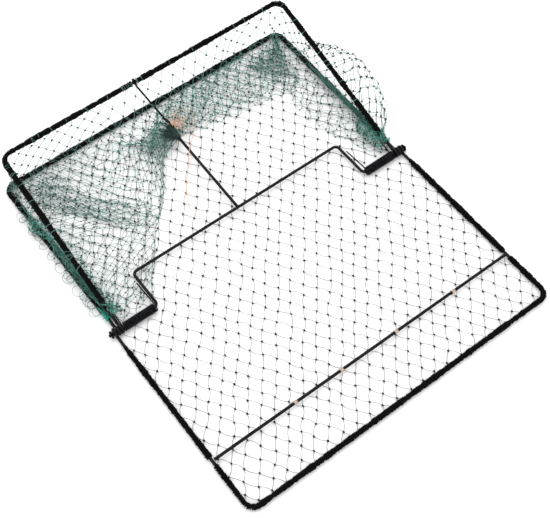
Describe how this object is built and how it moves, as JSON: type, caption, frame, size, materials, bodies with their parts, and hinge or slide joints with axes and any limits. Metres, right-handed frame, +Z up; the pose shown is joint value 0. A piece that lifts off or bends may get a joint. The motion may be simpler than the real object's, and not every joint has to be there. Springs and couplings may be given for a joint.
{
  "type": "folding net trap",
  "caption": "Flat folding net trap: hinged frame halves, a sprung capture frame held by a pin and trigger, mesh nets and a bait thread.",
  "frame": {"origin": "centre of the bounding box's underside, on the floor", "axes": "+X along the hinge axle to the right, +Y from the open front half to the rear half, +Z up"},
  "size_m": [0.518, 0.6164, 0.0979],
  "materials": {
    "black_enamel": "gloss black enamel on round steel wire",
    "black_lashing": "matt twisted cord, wound tight",
    "spring_steel": "dark oiled spring wire",
    "base_twine": "thin knotted twine",
    "green_twine": "thin knotted green twine",
    "tan_thread": "waxed tan thread",
    "oxide_steel": "blackened steel wire and plate"
  },
  "bodies": {
    "rear_base": {"rear_frame": "black_enamel", "rear_lashing": "black_lashing", "rear_net": "base_twine", "yoke_bar": "black_enamel", "trigger_arm": "black_enamel", "trigger_pivot_pin": "oxide_steel", "bag_net": "green_twine", "bait_thread": "tan_thread", "left_net_tie": "green_twine", "right_net_tie": "green_twine", "left_torsion_spring": "spring_steel", "right_torsion_spring": "spring_steel", "left_retaining_ring": "oxide_steel", "right_retaining_ring": "oxide_steel"},
    "front_base": {"front_frame": "black_enamel", "front_lashing": "black_lashing", "front_left_lashing": "black_lashing", "front_right_lashing": "black_lashing", "front_crossbar": "black_enamel", "front_net": "base_twine", "crossbar_tie_1": "tan_thread", "crossbar_tie_2": "tan_thread", "crossbar_tie_3": "tan_thread", "crossbar_tie_4": "tan_thread"},
    "capture": {"capture_frame": "black_enamel", "capture_left_lashing": "black_lashing", "capture_right_lashing": "black_lashing"},
    "pin": {"release_pin": "oxide_steel"},
    "trigger": {"trigger_lever": "oxide_steel"}
  },
  "joints": [
    {"name": "base_fold", "type": "hinge", "parent": "rear_base", "child": "front_base", "pos_m": [0, 0.004, 0.0073], "axis": [1, 0, 0], "range_deg": [0, 150]},
    {"name": "capture_swing", "type": "hinge", "parent": "rear_base", "child": "capture", "pos_m": [0, 0.004, 0.0073], "axis": [1, 0, 0], "range_deg": [0, 161]},
    {"name": "release_pin_swing", "type": "hinge", "parent": "capture", "child": "pin", "pos_m": [0, 0.28766, 0.09186], "axis": [1, 0, 0], "range_deg": [0, 60]},
    {"name": "trigger_tilt", "type": "hinge", "parent": "rear_base", "child": "trigger", "pos_m": [0, 0.24, 0.019], "axis": [1, 0, 0], "range_deg": [0, 25]}
  ]
}
